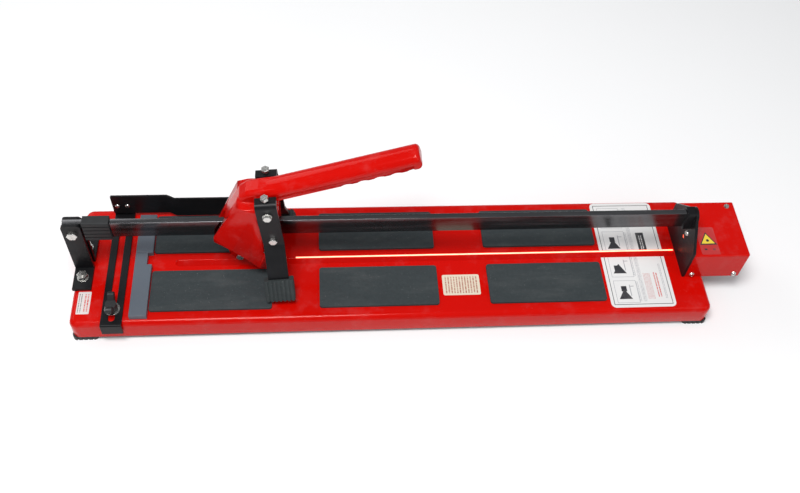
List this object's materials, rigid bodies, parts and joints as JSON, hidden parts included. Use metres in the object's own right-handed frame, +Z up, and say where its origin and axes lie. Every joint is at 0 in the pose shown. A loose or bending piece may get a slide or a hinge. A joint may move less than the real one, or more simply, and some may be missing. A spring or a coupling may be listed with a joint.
{
  "type": "tile cutter",
  "caption": "Manual tile cutter: a padded sheet-metal bed with a rail above it, a sliding head with scoring wheel, breaker arms and long grip, a width stop and a laser box.",
  "frame": {"origin": "on the floor, under the middle of the whole cutter's bounding box", "axes": "+X along the rail towards the laser box, +Y to the back, +Z up"},
  "size_m": [0.9574, 0.203, 0.2795],
  "materials": {
    "red_paint": "glossy, slightly orange-peeled red enamel",
    "rubber_pad": "matte dark grey rubber",
    "ridge_paint": "glossy red enamel",
    "foot_rubber": "matte black rubber",
    "grey_paint": "satin blue-grey enamel",
    "black_paint": "satin black powder coat, finely textured",
    "rail_chrome": "chromed, with fine marks along it",
    "zinc_steel": "bright zinc plate",
    "axle_steel": "ground steel",
    "roller_steel": "turned steel",
    "wheel_steel": "hardened steel with a ground edge",
    "black_plastic": "moulded black plastic",
    "laser_brass": "turned brass",
    "laser_glass": "small clear lens",
    "cell_jacket": "plain wrapped cells",
    "label_film": "printed film, left plain"
  },
  "bodies": {
    "base": {"batteries": "cell_jacket", "battery_holder": "black_plastic", "bed_pad_front_left": "rubber_pad", "bed_pad_front_middle": "rubber_pad", "bed_pad_front_right": "rubber_pad", "bed_pad_rear_left": "rubber_pad", "bed_pad_rear_middle": "rubber_pad", "bed_pad_rear_right": "rubber_pad", "bed_plate": "red_paint", "bracket_bolts": "zinc_steel", "bracket_nuts": "zinc_steel", "bracket_washers": "zinc_steel", "breaking_ridge": "ridge_paint", "cover_screws": "zinc_steel", "end_support": "black_paint", "labels": "label_film", "laser_clamp": "black_plastic", "laser_cover": "red_paint", "laser_lens": "laser_glass", "laser_module": "laser_brass", "left_bracket_front": "black_paint", "left_bracket_rear": "black_paint", "rail": "rail_chrome", "rail_bolt": "zinc_steel", "rail_buffer": "foot_rubber", "rail_nut": "zinc_steel", "rubber_foot_front_left": "foot_rubber", "rubber_foot_front_right": "foot_rubber", "rubber_foot_rear_left": "foot_rubber", "rubber_foot_rear_right": "foot_rubber", "support_bolts": "zinc_steel", "support_nuts": "zinc_steel", "switch_housing": "black_plastic", "tile_fence_front": "grey_paint", "tile_fence_rear": "grey_paint", "weld_nut": "zinc_steel"},
    "width_stop": {"stop_arm": "black_paint", "stop_guide": "black_paint", "stop_rivets": "zinc_steel"},
    "clamp": {"wing_knob": "black_plastic", "clamp_stud": "zinc_steel", "clamp_washer": "zinc_steel"},
    "carriage": {"carriage_axle": "axle_steel"},
    "top_roller": {"top_roller": "roller_steel"},
    "handle": {"handle_casting": "red_paint", "lower_axle": "axle_steel", "wheel_bolt": "zinc_steel", "wheel_nut": "zinc_steel", "breaker_arm_front": "black_paint", "breaker_arm_rear": "black_paint", "breaker_foot_front": "foot_rubber", "breaker_foot_rear": "foot_rubber", "pivot_bolt": "zinc_steel", "pivot_washers": "zinc_steel", "pivot_nut": "zinc_steel", "arm_bolts": "zinc_steel", "adjusting_screws": "zinc_steel"},
    "lower_roller": {"lower_roller": "roller_steel"},
    "cutting_wheel": {"cutting_wheel": "wheel_steel"},
    "laser_switch": {"laser_switch": "black_plastic"}
  },
  "joints": [
    {"name": "width_stop_slide", "type": "slide", "parent": "base", "child": "width_stop", "axis": [0, -1, 0], "range_m": [0, 0.065]},
    {"name": "clamp_turn", "type": "hinge", "parent": "base", "child": "clamp", "pos_m": [-0.4205, -0.0745, 0.0445], "axis": [0, 0, 1], "range_deg": [0, 180]},
    {"name": "carriage_slide", "type": "slide", "parent": "base", "child": "carriage", "axis": [1, 0, 0], "range_m": [-0.127, 0.543]},
    {"name": "top_roller_turn", "type": "hinge", "parent": "carriage", "child": "top_roller", "pos_m": [-0.21025, 0.0025, 0.151], "axis": [0, 1, 0], "continuous": true},
    {"name": "handle_tilt", "type": "hinge", "parent": "carriage", "child": "handle", "pos_m": [-0.21025, 0.0025, 0.151], "axis": [0, -1, 0], "range_deg": [-9, 9]},
    {"name": "lower_roller_turn", "type": "hinge", "parent": "handle", "child": "lower_roller", "pos_m": [-0.21025, 0.0025, 0.1015], "axis": [0, 1, 0], "continuous": true},
    {"name": "cutting_wheel_turn", "type": "hinge", "parent": "handle", "child": "cutting_wheel", "pos_m": [-0.24825, 0.0025, 0.065], "axis": [0, 1, 0], "continuous": true},
    {"name": "laser_switch_press", "type": "slide", "parent": "base", "child": "laser_switch", "axis": [-1, 0, 0], "range_m": [0, 0.0015], "stiffness_N_per_m": 800, "springref_m": -0.0005}
  ],
  "couplings": [
    {"joint": "top_roller_turn", "follows": "carriage_slide", "rad_per_m": 103.09}
  ]
}
